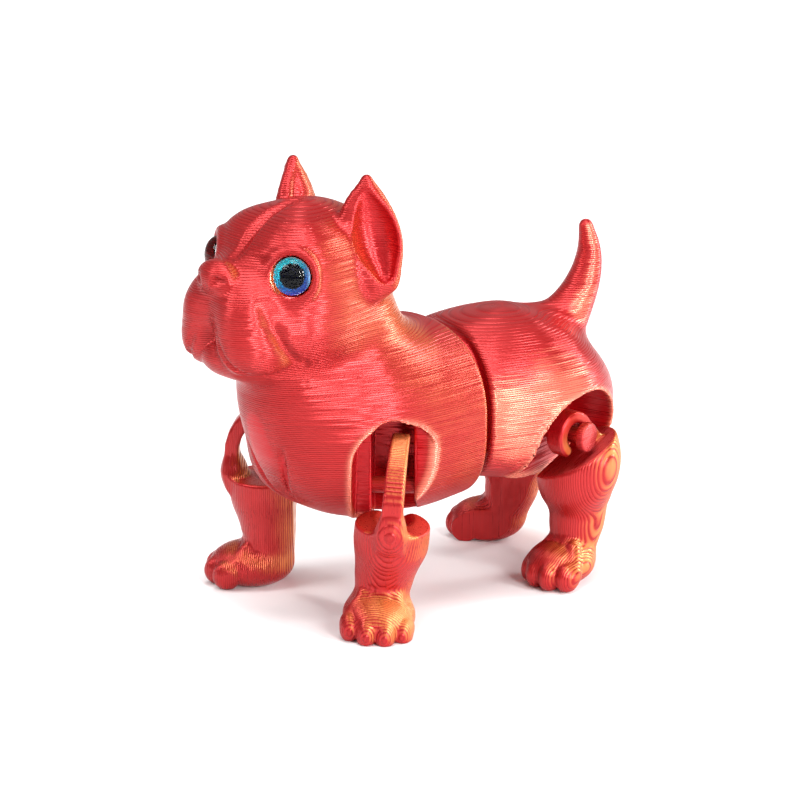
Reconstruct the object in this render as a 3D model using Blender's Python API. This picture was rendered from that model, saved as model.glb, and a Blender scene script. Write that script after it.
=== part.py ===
"""Articulated toy bulldog: two printed body shells, four hook-on legs and two domed eyes.

Frame: the dog faces -Y, its left side is +X, +Z is up, and it stands on z = 0.
The modelling frame is in millimetres, with the front shell's mid-plane at x = 0.
"""
import math

import bmesh
import bpy
from mathutils import Matrix, Vector

MM = 0.001
GAP = 0.35                      # clearance between neighbouring pieces

# Modelling frame to object frame
GROUND_Z = 1.3                  # height of the ground in the modelling frame
FRAME_SHIFT = (1.205, -2.606)   # puts the middle of the outline over the origin

# Body shells
RIM_Y = 8.5                     # rear rim of the front shell
SOCKET_FRONT_Y = 0.9            # front wall of the socket behind the rim
WAIST_Y = 9.0                   # vertical waist hinge
WAIST_YAW = -14.0               # how far the rear half is turned at rest
TONGUE_Y = 4.2                  # front end of the rear half's tongue
STEP_Y = 13.3                   # where the rear half widens behind the front shell's rim
LUG_Z = 33.0
LUG_HALF_HEIGHT = 2.2
LUG_HALF_WIDTH = 4.2
WAIST_PIN_RADIUS = 1.25
PIN_BOTTOM_Z = 22.6
PIN_TOP_Z = 40.4

# Front legs, each in a frame with x across the leg, y back and z up from the ground
FRONT_SPLAY = 45.0
FRONT_LEG_OUT = 21.0            # distance of the leg's axis from the body's centre, along the splay
FRONT_LEG_SIDE = 3.05           # sideways shift of the leg's plane
FRONT_BACK = 5.9                # flat back of the leg behind its axis
FRONT_RIM_Z = 18.4
FRONT_SHOULDER = 7.1            # back of the wide part of the pocket
FRONT_BAR_BACK = 9.6            # hook bar behind the leg's axis
FRONT_BAR_Z = 21.9
FRONT_BAR_FROM = -7.0           # ends of the bar across the leg
FRONT_BAR_TO = 4.0
HOOK_Y = 4.0                    # centre and radius of the strap's bend over the bar
HOOK_Z = 22.3
HOOK_RADIUS = 8.6
HOOK_START = 182.0              # angle where the bend leaves the leg, and how far it goes round
HOOK_SWEEP = 202.0
STRAP_FOOT = (-4.7, 15.5)       # y and z of the strap's root inside the leg
STRAP_WIDE = 3.6
STRAP_TAPER = 1.2               # how much narrower the strap is at its end

# Rear legs, each in a frame with x outward, y back and z up from the ground
REAR_SPLAY = 29.0
REAR_LEG_X = 12.5
REAR_LEG_Y = 30.0
REAR_INNER = 4.6                # flat inner face of the leg inside its axis
REAR_WALL = 6.6                 # inner wall of the pocket
REAR_POCKET_Y = 0.9             # middle of the pocket along the leg's y
REAR_RIM_Z = 18.6
REAR_RIM_SLOPE = 29.0
REAR_BAR_Z = 25.7
REAR_BAR_Y = -0.6
REAR_BAR_INNER = 11.0
REAR_BAR_OUTER = 4.0
RING_RADIUS = 3.05
RING_THICK = 1.9
RING_WIDE = 3.4
RING_START = 30.0               # angle where the ring starts, and how far it goes round
RING_SWEEP = 200.0
HEAD_RADIUS = 2.5               # retaining head on the outer end of the rear bar
HEAD_THICK = 1.4

BAR_RADIUS = 1.35
BAR_CHAMFER = 0.3
STRAP_THICK = 2.4

# Rest pose of each leg in degrees: turn about z, lean across, swing back; then lift
LEG_POSES = {
    "front_left": (0.0, 4.5, 5.0, 0.4),
    "front_right": (0.0, 0.0, 0.0, 0.0),
    "rear_left": (-11.0, 0.0, 0.0, 0.0),
    "rear_right": (11.0, 0.0, 0.0, 0.0),
}
SIDES = {1: "left", -1: "right"}

# Eyes
EYE_CENTRE = (9.0, -26.8, 61.8)
EYE_TURN = 32.0
EYE_TILT = 6.0
EYE_RADIUS = 3.0
EYE_SEAT = 1.0                  # depth of the seat below the glass
EYE_EDGE = 0.4                  # straight edge below the dome
DOME_HEIGHT = 2.6

# Surface resolution
VOXEL = 0.75
FRONT_TRIANGLES = 3000
REAR_TRIANGLES = 1800
LEG_TRIANGLES = 820

RED = (0.62, 0.045, 0.04, 1.0)
DEEP_RED = (0.45, 0.01, 0.012, 1.0)
TEAL = (0.03, 0.22, 0.27, 1.0)
CLEAR = (0.85, 0.9, 0.95, 1.0)


def world_of_body():
    """Millimetres in the modelling frame to metres in the object frame."""
    shift = Matrix.Translation((FRAME_SHIFT[0], FRAME_SHIFT[1], -GROUND_Z))
    return Matrix.Scale(MM, 4) @ shift


def world_of_rear():
    """The rear half's own straight frame, turned at the waist."""
    to_pin = Matrix.Translation((0, WAIST_Y, 0))
    turn = Matrix.Rotation(math.radians(WAIST_YAW), 4, "Z")
    return world_of_body() @ to_pin @ turn @ to_pin.inverted()


def mirrored(side):
    return Matrix.Diagonal((side, 1, 1, 1))


def front_leg_frame(side):
    splay = math.radians(FRONT_SPLAY)
    x = FRONT_LEG_SIDE * math.cos(splay) + FRONT_LEG_OUT * math.sin(splay)
    y = FRONT_LEG_SIDE * math.sin(splay) - FRONT_LEG_OUT * math.cos(splay)
    place = Matrix.Translation((x, y, GROUND_Z)) @ Matrix.Rotation(splay, 4, "Z")
    return world_of_body() @ mirrored(side) @ place


def rear_leg_frame(side):
    place = Matrix.Translation((REAR_LEG_X, REAR_LEG_Y, GROUND_Z))
    return world_of_rear() @ mirrored(side) @ place @ Matrix.Rotation(math.radians(REAR_SPLAY), 4, "Z")


def posed(frame, name, pivot):
    """A leg's frame turned about its hook into the rest pose."""
    turn, lean, swing, lift = LEG_POSES[name]
    move = Matrix.Translation(Vector(pivot) + Vector((0, 0, lift)))
    spin = Matrix.Rotation(math.radians(turn), 4, "Z")
    tilt = Matrix.Rotation(math.radians(lean), 4, "Y") @ Matrix.Rotation(math.radians(swing), 4, "X")
    return frame @ move @ spin @ tilt @ Matrix.Translation(-Vector(pivot))


def eye_frame(side):
    """The glass's flat base: z points out of the eye."""
    turn = Matrix.Rotation(math.radians(EYE_TURN), 4, "Z")
    tilt = Matrix.Rotation(math.radians(90 - EYE_TILT), 4, "X")
    return world_of_body() @ mirrored(side) @ Matrix.Translation(EYE_CENTRE) @ turn @ tilt


def material(name, colour, roughness, metallic=0.0):
    mat = bpy.data.materials.new(name)
    mat.use_nodes = True
    shader = mat.node_tree.nodes["Principled BSDF"]
    shader.inputs["Base Color"].default_value = colour
    shader.inputs["Roughness"].default_value = roughness
    shader.inputs["Metallic"].default_value = metallic
    return mat


def make_object(name, bm, origin, colour, roughness=0.35, helper=False):
    """An object from a bmesh in object-frame metres, with its own origin and material."""
    bmesh.ops.recalc_face_normals(bm, faces=bm.faces)
    mesh = bpy.data.meshes.new(name)
    bmesh.ops.translate(bm, verts=bm.verts, vec=-Vector(origin))
    bm.to_mesh(mesh)
    bm.free()
    obj = bpy.data.objects.new(name, mesh)
    obj.location = origin
    bpy.context.collection.objects.link(obj)
    if helper:
        obj.hide_render = True
        obj.display_type = "WIRE"
        return obj
    mesh.materials.append(material(name + "_finish", colour, roughness))
    mesh.shade_smooth()
    return obj


def cutter(name, bm):
    return make_object(name, bm, (0, 0, 0), None, helper=True)


def boolean(obj, other, operation="DIFFERENCE"):
    mod = obj.modifiers.new(operation.lower() + "_" + other.name, "BOOLEAN")
    mod.operation = operation
    mod.solver = "EXACT"
    mod.object = other


def fuse(obj, triangles, smoothing=6):
    """Fuses the overlapping shapes of a mesh into one smooth skin."""
    remesh = obj.modifiers.new("fuse", "REMESH")
    remesh.mode = "VOXEL"
    remesh.voxel_size = VOXEL * MM
    remesh.use_smooth_shade = True
    smooth = obj.modifiers.new("smooth", "SMOOTH")
    smooth.factor = 0.5
    smooth.iterations = smoothing
    bpy.context.view_layer.update()
    evaluated = obj.evaluated_get(bpy.context.evaluated_depsgraph_get())
    faces = sum(len(p.vertices) - 2 for p in evaluated.data.polygons)
    decimate = obj.modifiers.new("simplify", "DECIMATE")
    decimate.ratio = min(1.0, triangles / faces)


# ---------------------------------------------------------------- shapes
def add_ball(bm, world, centre, radii, segments=28):
    place = world @ Matrix.Translation(centre) @ Matrix.Diagonal((*radii, 1.0))
    bmesh.ops.create_uvsphere(bm, u_segments=segments, v_segments=segments // 2, radius=1.0, matrix=place)


def add_balls(bm, world, centre, radii):
    """The same ball on the left and on the right."""
    for side in (1, -1):
        add_ball(bm, world, (side * centre[0], centre[1], centre[2]), radii)


def add_tapered(bm, world, start, end, radius_start, radius_end, segments=24):
    """A cone between two points with a ball at each end."""
    start = Vector(start)
    end = Vector(end)
    along = end - start
    turn = along.to_track_quat("Z", "Y").to_matrix().to_4x4()
    place = world @ Matrix.Translation((start + end) / 2) @ turn
    bmesh.ops.create_cone(bm, cap_ends=True, segments=segments, radius1=radius_start,
                          radius2=radius_end, depth=along.length, matrix=place)
    add_ball(bm, world, start, (radius_start,) * 3, segments)
    add_ball(bm, world, end, (radius_end,) * 3, segments)


def add_limb(bm, world, points, radii):
    for i in range(len(points) - 1):
        add_tapered(bm, world, points[i], points[i + 1], radii[i], radii[i + 1])


def add_box(bm, world, low, high):
    centre = [(a + b) / 2 for a, b in zip(low, high)]
    size = [b - a for a, b in zip(low, high)]
    place = world @ Matrix.Translation(centre) @ Matrix.Diagonal((*size, 1.0))
    bmesh.ops.create_cube(bm, size=1.0, matrix=place)


def add_rod(bm, world, start, end, radius, segments=24):
    start = Vector(start)
    end = Vector(end)
    along = end - start
    turn = along.to_track_quat("Z", "Y").to_matrix().to_4x4()
    place = world @ Matrix.Translation((start + end) / 2) @ turn
    bmesh.ops.create_cone(bm, cap_ends=True, segments=segments, radius1=radius,
                          radius2=radius, depth=along.length, matrix=place)


def add_rings(bm, world, rings):
    """A closed skin through rings of points that all have the same count."""
    loops = []
    for ring in rings:
        loops.append([bm.verts.new(world @ Vector(p)) for p in ring])
    count = len(loops[0])
    for a, b in zip(loops[:-1], loops[1:]):
        for i in range(count):
            j = (i + 1) % count
            bm.faces.new((a[i], a[j], b[j], b[i]))
    bm.faces.new(loops[0])
    bm.faces.new(list(reversed(loops[-1])))


def section(y, half_width, top, bottom, power_top, power_bottom, count=40):
    """A rounded cross-section across the body, squarer below than above."""
    middle = (top + bottom) / 2
    half_height = (top - bottom) / 2
    ring = []
    for i in range(count):
        angle = 2 * math.pi * i / count
        across = math.cos(angle)
        up = math.sin(angle)
        power = power_top if up > 0 else power_bottom
        x = half_width * math.copysign(abs(across) ** (2 / power), across)
        z = middle + half_height * math.copysign(abs(up) ** (2 / power), up)
        ring.append((x, y, z))
    return ring


def add_trunk(bm, world, stations, power_top=2.3, power_bottom=3.0):
    """Rows of a trunk: position along the body, half width, top and bottom."""
    rings = [section(y, w, t, b, power_top, power_bottom) for y, w, t, b in stations]
    add_rings(bm, world, rings)


def arch(depth, half_width, top, middle=0.0, floor=4.0, flare=2.2, count=14):
    """An arched outline in the plane y = depth: a round head on jambs that spread downward."""
    spring = top - half_width
    ring = [(middle - half_width - flare, depth, floor)]
    for i in range(count + 1):
        angle = math.pi - math.pi * i / count
        ring.append((middle + half_width * math.cos(angle), depth, spring + half_width * math.sin(angle)))
    ring.append((middle + half_width + flare, depth, floor))
    return ring


def add_band(bm, world, path, widths, thickness):
    """A strap along a path in the local Y-Z plane, with chamfered edges."""
    rings = []
    for i, point in enumerate(path):
        before = Vector(path[max(i - 1, 0)])
        after = Vector(path[min(i + 1, len(path) - 1)])
        along = (after - before).normalized()
        normal = Vector((-along.y, along.x))
        half = widths[i] / 2
        deep = thickness / 2
        chamfer = thickness * 0.25
        outline = ((half, deep - chamfer), (half - chamfer, deep), (chamfer - half, deep), (-half, deep - chamfer),
                   (-half, chamfer - deep), (chamfer - half, -deep), (half - chamfer, -deep), (half, chamfer - deep))
        ring = []
        for x, n in outline:
            spot = Vector(point) + normal * n
            ring.append((x, spot.x, spot.y))
        rings.append(ring)
    add_rings(bm, world, rings)


# ---------------------------------------------------------------- front shell
def front_trunk(bm, world):
    add_trunk(bm, world, [
        (-25.2, 4.0, 40.0, 28.3), (-24.0, 7.0, 42.5, 25.1), (-20.0, 11.2, 46.0, 21.1),
        (-16.0, 14.0, 48.0, 18.8), (-11.0, 15.6, 49.0, 17.5), (-4.0, 16.2, 48.8, 16.9),
        (2.0, 16.4, 48.0, 17.0), (RIM_Y + 2, 16.2, 47.0, 17.8)])


def neck_and_skull(bm, world):
    add_limb(bm, world, [(0, -13.5, 58), (0, -10.2, 50), (0, -7.0, 38)], [10.6, 11.2, 13.6])
    add_ball(bm, world, (0, -19.5, 41), (9.8, 8.6, 13))
    add_ball(bm, world, (0, -17.0, 60.5), (11.9, 13.3, 10.4))
    add_balls(bm, world, (5.4, -22.3, 61.4), (6.4, 6.9, 7.5))
    add_balls(bm, world, (6.4, -21.0, 53.5), (6.4, 9.8, 8.0))


def muzzle(bm, world):
    add_balls(bm, world, (4.0, -31.4, 53.9), (5.2, 6.2, 8.1))
    add_ball(bm, world, (0, -29.5, 56.5), (7.0, 7.0, 7.2))
    add_ball(bm, world, (0, -30.6, 48.6), (6.6, 6.9, 4.6))
    add_ball(bm, world, (0, -35.0, 61.4), (3.8, 2.7, 2.9))


def ears(bm, world):
    for side in (1, -1):
        add_limb(bm, world, [(side * 9.3, -10.6, 60), (side * 9.2, -11.6, 69), (side * 8.9, -12.0, 75.2)],
                 [5.7, 4.0, 1.1])
        add_limb(bm, world, [(side * 12.0, -13.6, 65.5), (side * 9.9, -12.8, 74.0)], [2.2, 0.9])


def ear_hollow_cutter(world, side):
    """A slim ball that dishes the front of the ear."""
    bm = bmesh.new()
    lean = Matrix.Translation((side * 12.2, -15.2, 67.6)) @ Matrix.Rotation(math.radians(-side * 11), 4, "Y")
    add_ball(bm, world @ lean, (0, 0, 0), (2.9, 3.0, 7.4), 20)
    return cutter("ear_hollow_" + SIDES[side], bm)


def trunk_end_cutter(world):
    """Trims the front shell to a flat rear rim."""
    bm = bmesh.new()
    add_box(bm, world, (-30, RIM_Y, 5), (30, RIM_Y + 20, 60))
    return cutter("rim_cut", bm)


def socket_cutter(world):
    """The hollow behind the rim that takes the rear half's tongue."""
    bm = bmesh.new()
    add_trunk(bm, world, [
        (SOCKET_FRONT_Y, 11.8, 43.4, 22.0), (2.5, 13.6, 44.6, 21.2), (5.5, 14.8, 45.4, 20.4),
        (RIM_Y + 2, 15.2, 45.6, 20.0)])
    return cutter("socket_cut", bm)


def front_pocket_cutter(world, name):
    """Arched pocket that opens outward and downward, in the leg's own frame."""
    bm = bmesh.new()
    add_rings(bm, world, [arch(FRONT_SHOULDER, 6.5, 34.8), arch(0.6, 7.0, 35.0), arch(-9.0, 8.6, 37.0)])
    return cutter(name, bm)


def hook_slot_cutter(world, name):
    """Deeper and narrower slot behind the pocket's shoulders, for the bar and the hook."""
    bm = bmesh.new()
    add_rings(bm, world, [
        arch(14.5, 3.1, 35.0, middle=-0.3, flare=0.2),
        arch(FRONT_SHOULDER - 1, 4.0, 35.8, middle=-1.1, flare=0.2)])
    return cutter(name, bm)


def heel_room_cutter(world, name):
    """Relief below the bar, where the top of the leg swings back."""
    bm = bmesh.new()
    add_rings(bm, world, [arch(FRONT_SHOULDER + 1.7, 6.8, 19.6), arch(FRONT_SHOULDER - 1, 6.8, 19.6)])
    return cutter(name, bm)


def rod_cutter(world, name, start, end, radius):
    bm = bmesh.new()
    add_rod(bm, world, start, end, radius, 16)
    return cutter(name, bm)


def eye_recess_cutter(frame, name):
    bm = bmesh.new()
    add_rod(bm, frame, (0, 0, -EYE_SEAT), (0, 0, 5.0), EYE_RADIUS + GAP, 32)
    return cutter(name, bm)


def lug(world):
    """Tab that reaches back from the front shell into the rear half's slot."""
    low = LUG_Z - LUG_HALF_HEIGHT
    high = LUG_Z + LUG_HALF_HEIGHT
    outline = [(-LUG_HALF_WIDTH, SOCKET_FRONT_Y - 1.5)]
    for i in range(17):
        angle = math.pi - math.pi * i / 16
        outline.append((LUG_HALF_WIDTH * math.cos(angle), WAIST_Y + LUG_HALF_WIDTH * math.sin(angle)))
    outline.append((LUG_HALF_WIDTH, SOCKET_FRONT_Y - 1.5))
    bm = bmesh.new()
    add_rings(bm, world, [[(x, y, low) for x, y in outline], [(x, y, high) for x, y in outline]])
    return cutter("lug", bm)


def front_body(world):
    bm = bmesh.new()
    front_trunk(bm, world)
    neck_and_skull(bm, world)
    muzzle(bm, world)
    ears(bm, world)
    shell = make_object("front_body_shell", bm, (0, 0, 0), RED)
    fuse(shell, FRONT_TRIANGLES)
    boolean(shell, trunk_end_cutter(world))
    boolean(shell, socket_cutter(world))
    boolean(shell, lug(world), "UNION")
    hole = (0, WAIST_Y, LUG_Z - 4), (0, WAIST_Y, LUG_Z + 4)
    boolean(shell, rod_cutter(world, "lug_hole", *hole, WAIST_PIN_RADIUS + GAP))
    for side in (1, -1):
        name = SIDES[side]
        leg = front_leg_frame(side)
        boolean(shell, ear_hollow_cutter(world, side))
        boolean(shell, front_pocket_cutter(leg, "front_pocket_" + name))
        boolean(shell, hook_slot_cutter(leg, "hook_slot_" + name))
        boolean(shell, heel_room_cutter(leg, "heel_room_" + name))
        start = (FRONT_BAR_FROM - GAP, FRONT_BAR_BACK, FRONT_BAR_Z)
        end = (FRONT_BAR_TO + GAP, FRONT_BAR_BACK, FRONT_BAR_Z)
        boolean(shell, rod_cutter(leg, "front_bar_hole_" + name, start, end, BAR_RADIUS + GAP))
        boolean(shell, eye_recess_cutter(eye_frame(side), "eye_recess_" + name))
    return shell


# ---------------------------------------------------------------- rear shell
def tongue(bm, world):
    """The narrower front of the rear half, which enters the front shell."""
    add_trunk(bm, world, [
        (TONGUE_Y, 8.6, 40.6, 24.4), (6.0, 11.4, 42.4, 23.0), (9.0, 13.0, 43.7, 21.8),
        (STEP_Y + 1, 13.9, 45.0, 20.8)])


def rump(bm, world):
    add_trunk(bm, world, [
        (STEP_Y, 15.2, 45.4, 20.4), (STEP_Y + 1.2, 15.9, 45.9, 19.8), (20, 16.2, 46.6, 18.9),
        (26, 16.2, 46.7, 18.5), (32, 15.2, 45.0, 19.0), (36.6, 12.8, 41.6, 20.6),
        (40.6, 9.2, 37.2, 23.2), (42.7, 4.5, 33.6, 26.4)])


def tail(bm, world):
    points = [(0, 32.5, 40.0), (0, 36.8, 44.5), (0, 39.4, 49.5), (0, 40.2, 54.2), (0, 39.6, 58.8)]
    add_limb(bm, world, points, [5.4, 3.6, 2.7, 2.1, 1.4])


def rear_pocket_cutter(world, name):
    """Arched pocket through the flank, in the leg's splayed frame."""
    bm = bmesh.new()
    turn = Matrix.Rotation(math.radians(90), 4, "Z")
    rings = [arch(-x, half, top, middle=REAR_POCKET_Y) for x, half, top in
             ((-REAR_WALL, 9.4, 32.6), (0.0, 9.9, 33.6), (10.0, 10.8, 34.8))]
    add_rings(bm, world @ turn, rings)
    return cutter(name, bm)


def lug_slot_cutter(world):
    """Slot in the tongue for the lug, wide enough for the waist to turn."""
    half = LUG_HALF_HEIGHT + GAP
    outline = [(-LUG_HALF_WIDTH - 3.0, TONGUE_Y - 3)]
    for i in range(17):
        angle = math.pi - math.pi * i / 16
        reach = LUG_HALF_WIDTH + 0.8
        outline.append((reach * math.cos(angle), WAIST_Y + reach * math.sin(angle)))
    outline.append((LUG_HALF_WIDTH + 3.0, TONGUE_Y - 3))
    bm = bmesh.new()
    rings = [[(x, y, LUG_Z + z) for x, y in outline] for z in (-half, half)]
    add_rings(bm, world, rings)
    return cutter("lug_slot", bm)


def rear_body(world):
    bm = bmesh.new()
    tongue(bm, world)
    rump(bm, world)
    tail(bm, world)
    pin = world @ Vector((0, WAIST_Y, LUG_Z))
    shell = make_object("rear_body_shell", bm, pin, RED)
    fuse(shell, REAR_TRIANGLES)
    boolean(shell, lug_slot_cutter(world))
    hole = (0, WAIST_Y, 10), (0, WAIST_Y, PIN_TOP_Z + GAP)
    boolean(shell, rod_cutter(world, "waist_hole", *hole, WAIST_PIN_RADIUS + GAP))
    for side in (1, -1):
        name = SIDES[side]
        leg = rear_leg_frame(side)
        boolean(shell, rear_pocket_cutter(leg, "rear_pocket_" + name))
        start = (-REAR_BAR_INNER - GAP, REAR_BAR_Y, REAR_BAR_Z)
        end = (0, REAR_BAR_Y, REAR_BAR_Z)
        boolean(shell, rod_cutter(leg, "rear_bar_hole_" + name, start, end, BAR_RADIUS + GAP))
    return shell


# ---------------------------------------------------------------- legs
def toes(bm, frame, spots):
    for x, y in spots:
        add_ball(bm, frame, (x, y, 2.4), (1.9, 3.0, 2.8), 20)


def hook_path():
    """Centre line of the front strap: up from the leg, over the bar and down behind it."""
    path = [STRAP_FOOT]
    for i in range(17):
        angle = math.radians(HOOK_START - HOOK_SWEEP * i / 16)
        path.append((HOOK_Y + HOOK_RADIUS * math.cos(angle), HOOK_Z + HOOK_RADIUS * math.sin(angle)))
    return path


def ground_cutter():
    bm = bmesh.new()
    add_box(bm, Matrix.Scale(MM, 4), (-80, -80, -30), (80, 80, 0))
    return cutter("ground", bm)


def front_leg(side, ground):
    name = SIDES[side]
    frame = posed(front_leg_frame(side), "front_" + name, (0, FRONT_BAR_BACK, FRONT_BAR_Z))
    origin = frame @ Vector((0, FRONT_BAR_BACK, FRONT_BAR_Z))
    bm = bmesh.new()
    add_limb(bm, frame, [(0, 0.8, 19.5), (0, 1.2, 15), (0, 1.8, 10), (0, 1.4, 5.2)], [6.2, 5.6, 4.5, 4.5])
    add_ball(bm, frame, (0, -1.6, 3.6), (6.1, 7.4, 4.6))
    toes(bm, frame, ((-4.3, -5.4), (-1.5, -7.0), (1.5, -7.0), (4.3, -5.4)))
    add_ball(bm, frame, (0, -4.2, 18.4), (3.0, 2.6, 3.0))
    leg = make_object("leg_front_" + name, bm, origin, RED)
    fuse(leg, LEG_TRIANGLES)
    top = bmesh.new()
    add_box(top, frame, (-12, -12, FRONT_RIM_Z), (12, 12, FRONT_RIM_Z + 20))
    boolean(leg, cutter("front_top_" + name, top))
    cup = bmesh.new()
    add_ball(cup, frame, (0, 3.2, 24.0), (4.8, 6.0, 7.2), 24)
    boolean(leg, cutter("front_cup_" + name, cup))
    back = bmesh.new()
    add_box(back, frame, (-12, FRONT_BACK, -12), (12, 20, 40))
    boolean(leg, cutter("front_back_" + name, back))
    path = hook_path()
    widths = [STRAP_WIDE - STRAP_TAPER * i / (len(path) - 1) for i in range(len(path))]
    strap = bmesh.new()
    add_band(strap, frame, path, widths, STRAP_THICK)
    boolean(leg, cutter("front_strap_" + name, strap), "UNION")
    boolean(leg, ground)
    return leg


def ring_path():
    """Centre line of the rear strap: up the back of the leg and round the bar."""
    path = [(3.9, 15.0), (5.0, 20.5), (5.0, 24.0)]
    for i in range(13):
        angle = math.radians(RING_START + RING_SWEEP * i / 12)
        path.append((REAR_BAR_Y + RING_RADIUS * math.cos(angle), REAR_BAR_Z + RING_RADIUS * math.sin(angle)))
    return path


def rear_leg(side, ground):
    name = SIDES[side]
    frame = posed(rear_leg_frame(side), "rear_" + name, (0, REAR_BAR_Y, REAR_BAR_Z))
    origin = frame @ Vector((0, REAR_BAR_Y, REAR_BAR_Z))
    bm = bmesh.new()
    lean = Matrix.Translation((-1.0, 2.6, 20.0)) @ Matrix.Rotation(math.radians(-12), 4, "X")
    add_ball(bm, frame @ lean, (0, 0, 0), (7.4, 6.7, 9.6))
    add_limb(bm, frame, [(-1.2, 3.6, 14), (-1.0, 2.8, 10), (-0.8, 1.6, 5.2)], [5.2, 4.2, 4.0])
    add_ball(bm, frame, (-0.6, -1.8, 3.6), (5.7, 6.6, 4.5))
    toes(bm, frame, ((-3.9, -5.2), (-1.3, -6.7), (1.5, -6.7), (4.0, -5.2)))
    leg = make_object("leg_rear_" + name, bm, origin, RED)
    fuse(leg, LEG_TRIANGLES)
    slope = Matrix.Translation((0, -4, REAR_RIM_Z)) @ Matrix.Rotation(math.radians(REAR_RIM_SLOPE), 4, "X")
    top = bmesh.new()
    add_box(top, frame @ slope, (-15, -20, 0), (15, 30, 25))
    boolean(leg, cutter("rear_top_" + name, top))
    inner = bmesh.new()
    add_box(inner, frame, (-20, -20, -12), (-REAR_INNER, 25, 45))
    boolean(leg, cutter("rear_inner_" + name, inner))
    strap = bmesh.new()
    path = ring_path()
    add_band(strap, frame, path, [RING_WIDE] * len(path), RING_THICK)
    boolean(leg, cutter("rear_strap_" + name, strap), "UNION")
    boolean(leg, ground)
    return leg


# ---------------------------------------------------------------- bars, pin and eyes
def rod(name, frame, start, end, radius, head=None):
    """A bar with chamfered ends, and a wider head at its end where it has one."""
    bm = bmesh.new()
    start = Vector(start)
    end = Vector(end)
    along = end - start
    turn = along.to_track_quat("Z", "Y").to_matrix().to_4x4()
    place = frame @ Matrix.Translation(start) @ turn
    edge = BAR_CHAMFER
    profile = [(radius - edge, 0), (radius, edge)]
    length = along.length
    if head:
        wide, thick = head
        profile += [(radius, length - thick), (wide - edge, length - thick), (wide, length - thick + edge),
                    (wide, length - 2 * edge), (wide * 0.6, length)]
    else:
        profile += [(radius, length - edge), (radius - edge, length)]
    rings = []
    for r, z in profile:
        rings.append([(r * math.cos(2 * math.pi * i / 20), r * math.sin(2 * math.pi * i / 20), z)
                      for i in range(20)])
    add_rings(bm, place, rings)
    return make_object(name, bm, place @ Vector((0, 0, length / 2)), DEEP_RED)


def eye_dome(side):
    frame = eye_frame(side)
    bm = bmesh.new()
    rings = [[(EYE_RADIUS * math.cos(2 * math.pi * i / 32), EYE_RADIUS * math.sin(2 * math.pi * i / 32), 0.0)
              for i in range(32)]]
    for step in range(7):
        angle = math.radians(82 * step / 6)
        r = EYE_RADIUS * math.cos(angle)
        z = EYE_EDGE + (DOME_HEIGHT - EYE_EDGE) * math.sin(angle) / math.sin(math.radians(82))
        rings.append([(r * math.cos(2 * math.pi * i / 32), r * math.sin(2 * math.pi * i / 32), z)
                      for i in range(32)])
    add_rings(bm, frame, rings)
    dome = make_object("eye_glass_" + SIDES[side], bm, frame.translation, CLEAR, 0.03)
    shader = dome.data.materials[0].node_tree.nodes["Principled BSDF"]
    shader.inputs["Transmission Weight"].default_value = 1.0
    return dome


def iris_disc(side):
    frame = eye_frame(side)
    bm = bmesh.new()
    add_rod(bm, frame, (0, 0, -EYE_SEAT + GAP), (0, 0, -GAP), EYE_RADIUS - 0.1, 32)
    return make_object("eye_iris_" + SIDES[side], bm, frame.translation, TEAL, 0.15)


def main():
    for obj in list(bpy.data.objects):
        bpy.data.objects.remove(obj, do_unlink=True)
    ground = ground_cutter()
    front_body(world_of_body())
    rear_body(world_of_rear())
    low = (0, WAIST_Y, PIN_BOTTOM_Z)
    high = (0, WAIST_Y, PIN_TOP_Z)
    rod("waist_pin", world_of_rear(), low, high, WAIST_PIN_RADIUS)
    for side in (1, -1):
        name = SIDES[side]
        front_leg(side, ground)
        rear_leg(side, ground)
        start = (FRONT_BAR_FROM, FRONT_BAR_BACK, FRONT_BAR_Z)
        end = (FRONT_BAR_TO, FRONT_BAR_BACK, FRONT_BAR_Z)
        rod("hook_bar_front_" + name, front_leg_frame(side), start, end, BAR_RADIUS)
        start = (-REAR_BAR_INNER, REAR_BAR_Y, REAR_BAR_Z)
        end = (REAR_BAR_OUTER, REAR_BAR_Y, REAR_BAR_Z)
        rod("hook_bar_rear_" + name, rear_leg_frame(side), start, end, BAR_RADIUS, (HEAD_RADIUS, HEAD_THICK))
        eye_dome(side)
        iris_disc(side)


main()
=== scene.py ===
import math

import bpy
import numpy as np
from mathutils import Matrix, Vector


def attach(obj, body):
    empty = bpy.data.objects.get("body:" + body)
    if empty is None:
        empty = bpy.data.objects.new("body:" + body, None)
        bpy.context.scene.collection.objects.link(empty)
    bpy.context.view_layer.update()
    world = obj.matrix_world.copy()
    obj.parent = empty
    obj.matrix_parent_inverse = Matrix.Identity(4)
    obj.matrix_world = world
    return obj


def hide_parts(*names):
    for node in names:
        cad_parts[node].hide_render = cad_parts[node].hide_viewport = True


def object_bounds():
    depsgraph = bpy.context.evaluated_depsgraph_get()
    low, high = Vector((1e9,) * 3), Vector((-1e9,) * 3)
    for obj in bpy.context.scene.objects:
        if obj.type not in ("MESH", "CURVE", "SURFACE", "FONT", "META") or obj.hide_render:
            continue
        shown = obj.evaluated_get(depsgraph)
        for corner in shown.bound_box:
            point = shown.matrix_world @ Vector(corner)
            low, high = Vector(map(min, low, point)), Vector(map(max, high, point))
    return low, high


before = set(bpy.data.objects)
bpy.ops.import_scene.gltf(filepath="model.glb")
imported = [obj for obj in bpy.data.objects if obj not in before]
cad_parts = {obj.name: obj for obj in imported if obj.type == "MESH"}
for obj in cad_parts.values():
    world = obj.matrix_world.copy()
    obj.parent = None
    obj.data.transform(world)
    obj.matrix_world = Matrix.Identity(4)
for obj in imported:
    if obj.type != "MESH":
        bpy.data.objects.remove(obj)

CAD_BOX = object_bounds()
MM = 0.001
F = np.float32

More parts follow.
